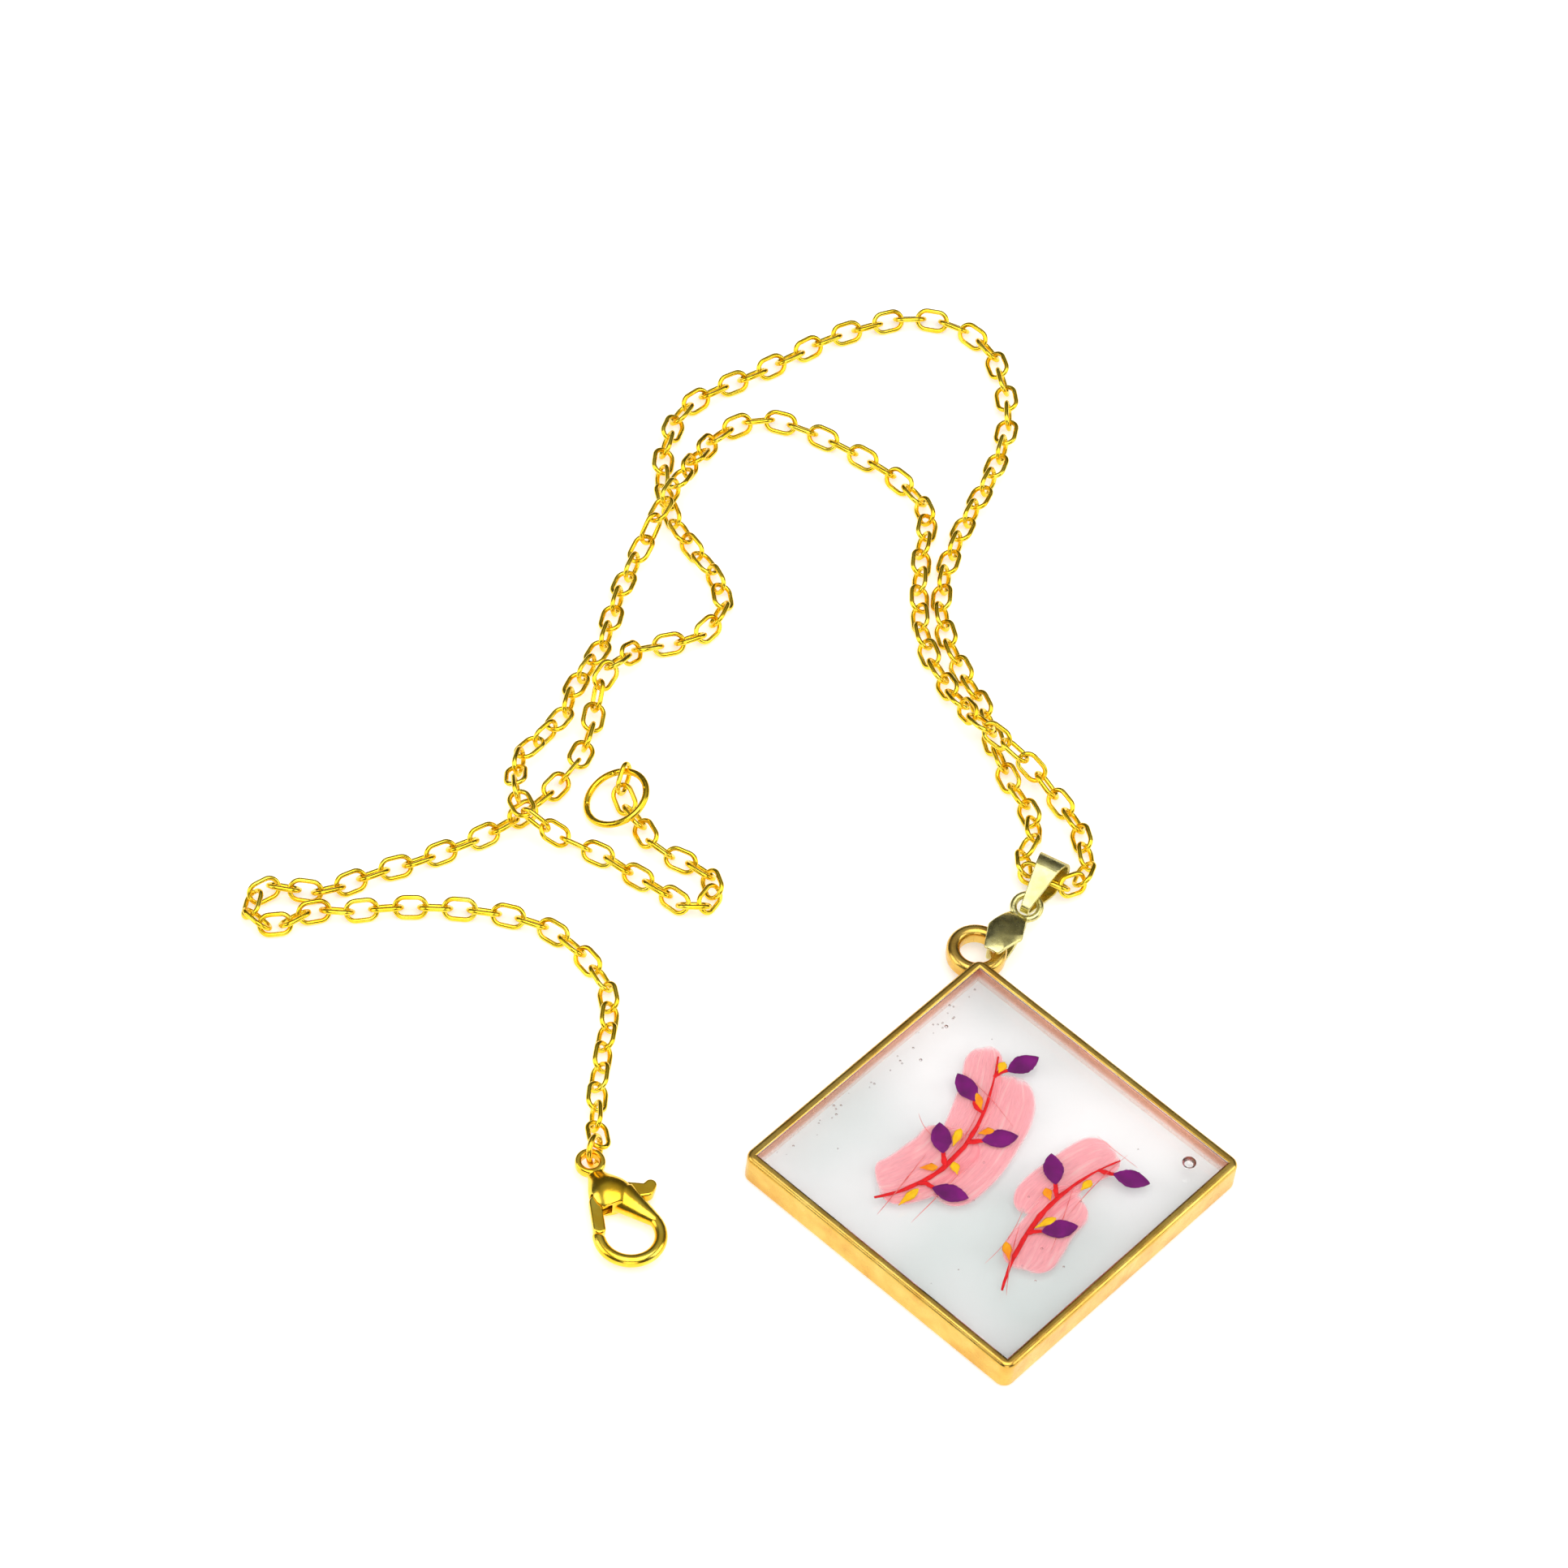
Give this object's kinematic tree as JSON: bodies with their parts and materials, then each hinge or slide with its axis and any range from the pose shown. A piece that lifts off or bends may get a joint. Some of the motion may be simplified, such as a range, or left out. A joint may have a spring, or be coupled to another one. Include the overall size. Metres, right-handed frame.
{
  "type": "resin leaf pendant necklace",
  "caption": "Square clear-resin pendant with sealed purple leaves in a gold-toned bezel, on a cable chain with end ring and lobster clasp, lying open.",
  "frame": {"origin": "centre of the pendant's flat back face, on the surface that the necklace lies on", "axes": "+Y towards the pendant's corner with the loop, +X towards its right-hand corner, +Z out of its face, away from the surface"},
  "size_m": [0.0969, 0.1365, 0.005],
  "materials": {
    "bezel_gold": "brushed pale gold",
    "clear_resin": "clear cast resin",
    "picture_paint": "matte purple",
    "antique_gold": "pale greenish gold",
    "chain_gold": "polished gold",
    "clasp_gold": "polished gold"
  },
  "bodies": {
    "necklace": {"bezel_frame": "bezel_gold", "resin": "clear_resin", "leaf_1": "picture_paint", "leaf_2": "picture_paint", "leaf_3": "picture_paint", "leaf_4": "picture_paint", "leaf_5": "picture_paint", "leaf_6": "picture_paint", "leaf_7": "picture_paint", "leaf_8": "picture_paint", "pinch_clip": "antique_gold", "bail_loop": "antique_gold", "chain_ring_side": "chain_gold", "chain_clasp_side": "chain_gold", "end_ring": "chain_gold", "clasp_ring": "chain_gold", "clasp_body": "clasp_gold", "clasp_pin": "clasp_gold"},
    "clasp_lever": {"clasp_lever": "clasp_gold"}
  },
  "joints": [
    {"name": "clasp_gate", "type": "hinge", "parent": "necklace", "child": "clasp_lever", "pos_m": [-0.03714, -0.00331, 0.0015], "axis": [0, 0, 1], "range_deg": [0, 25], "stiffness_Nm_per_rad": 0.002, "springref_deg": -5.73}
  ]
}
